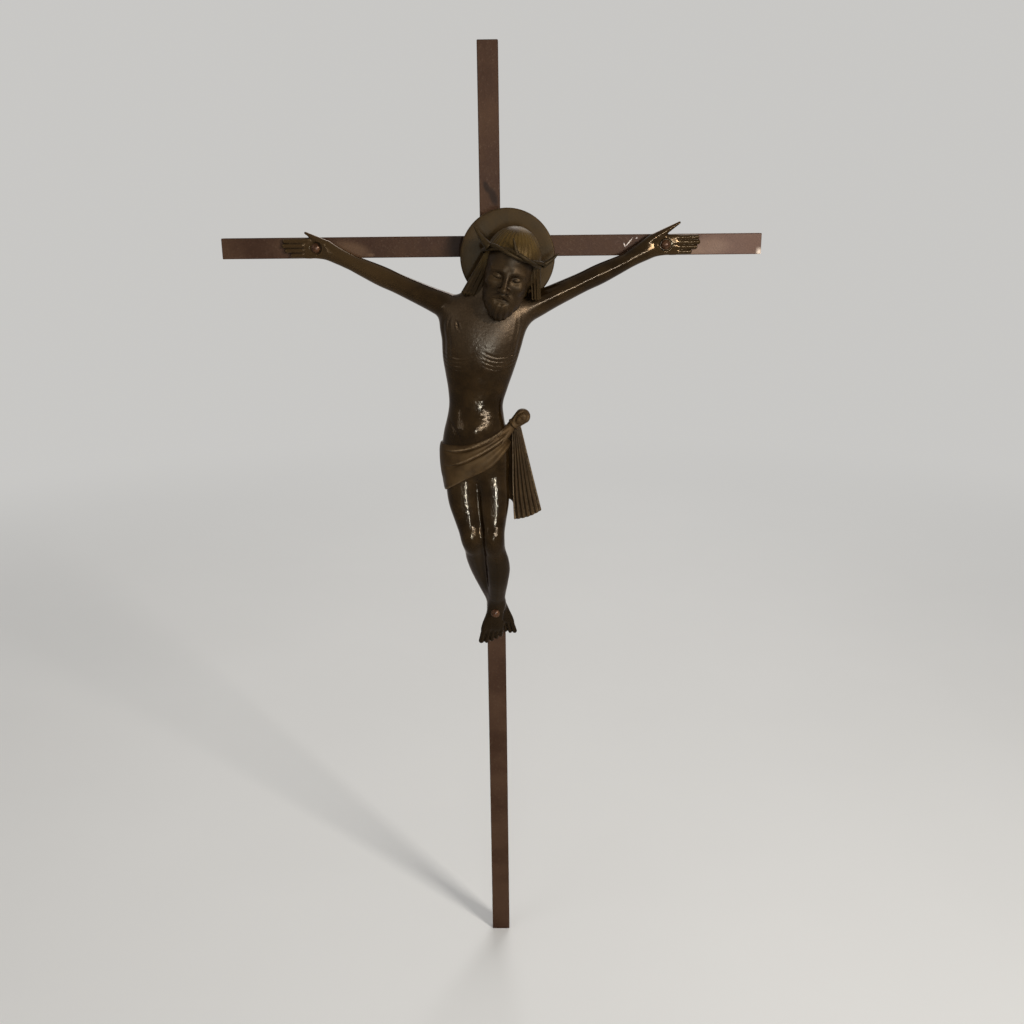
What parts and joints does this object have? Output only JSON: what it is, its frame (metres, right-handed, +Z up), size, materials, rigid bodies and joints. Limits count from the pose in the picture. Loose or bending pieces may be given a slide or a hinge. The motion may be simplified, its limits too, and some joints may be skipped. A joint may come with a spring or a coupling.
{
  "type": "crucifix",
  "caption": "Slender wall crucifix: a dark bronze figure with halo and crown of thorns nailed to a cross of flat metal bars, with a swinging hanging ring behind.",
  "frame": {"origin": "on the upright's back face, on its centre line, at the level of the hanger's eye", "axes": "+Z up along the upright, +X to the viewer's right along the crossbar, +Y towards the wall; the figure faces -Y"},
  "size_m": [0.267, 0.0555, 0.494],
  "materials": {
    "bar_patina": "matte reddish-brown patina, worn bright at a few corners and scratches",
    "figure_bronze": "dark brown-black bronze patina, glossy on the limbs",
    "halo_bronze": "olive-brown satin bronze with rubbed edges",
    "nail_bronze": "reddish-brown satin bronze",
    "hanger_brass": "dull aged brass wire"
  },
  "bodies": {
    "cross": {"upright_bar": "bar_patina", "crossbar": "bar_patina", "crossing_rivet": "bar_patina", "figure_body": "figure_bronze", "figure_right_arm": "figure_bronze", "figure_left_arm": "figure_bronze", "arm_dowels": "figure_bronze", "halo": "halo_bronze", "halo_pin": "halo_bronze", "crown_of_thorns": "halo_bronze", "right_hand_nail": "nail_bronze", "left_hand_nail": "nail_bronze", "feet_nail": "nail_bronze", "hanger_eye": "hanger_brass"},
    "ring": {"hanging_ring": "hanger_brass"}
  },
  "joints": [
    {"name": "ring_swing", "type": "hinge", "parent": "cross", "child": "ring", "pos_m": [0, 0.0018, 0], "axis": [1, 0, 0], "range_deg": [0, 180]}
  ]
}
